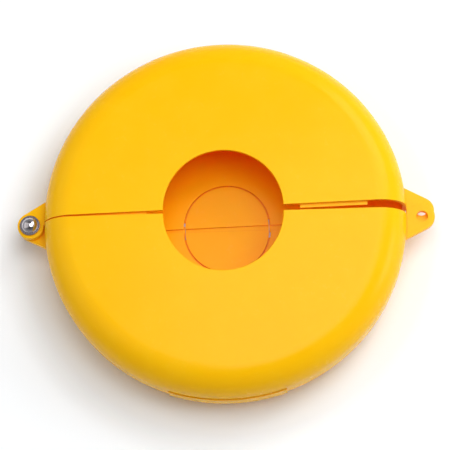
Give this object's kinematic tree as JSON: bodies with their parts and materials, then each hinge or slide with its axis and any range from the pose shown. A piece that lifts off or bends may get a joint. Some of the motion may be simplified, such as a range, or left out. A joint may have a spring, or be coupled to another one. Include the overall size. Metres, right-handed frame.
{
  "type": "gate valve handwheel lockout",
  "caption": "Round clamshell lockout: two half-round plastic shells swing on one rivet, close round a valve handwheel with the stem through a front opening, and take a padlock.",
  "frame": {"origin": "centre of the disc on its closed face, at the level the part rests on", "axes": "+Z along the disc axis, out of the stem opening; +X from the hinge rivet towards the padlock ears; the lower shell lies in -Y and the upper shell in +Y"},
  "size_m": [0.3098, 0.2731, 0.057],
  "materials": {
    "shell_plastic": "smooth moulded polypropylene, satin to soft gloss",
    "knockout_plastic": "smooth moulded polypropylene, satin to soft gloss",
    "rivet_metal": "polished nickel-plated steel",
    "washer_metal": "plain nickel-plated steel"
  },
  "bodies": {
    "lower_half": {"lower_shell": "shell_plastic", "lower_knockout": "knockout_plastic", "hinge_rivet": "rivet_metal", "front_washer": "washer_metal", "rear_washer": "washer_metal"},
    "upper_half": {"upper_shell": "shell_plastic", "upper_knockout": "knockout_plastic"}
  },
  "joints": [
    {"name": "shell_hinge", "type": "hinge", "parent": "lower_half", "child": "upper_half", "pos_m": [-0.1455, 0, 0.0285], "axis": [0, 0, 1], "range_deg": [-1.22, 223]}
  ]
}
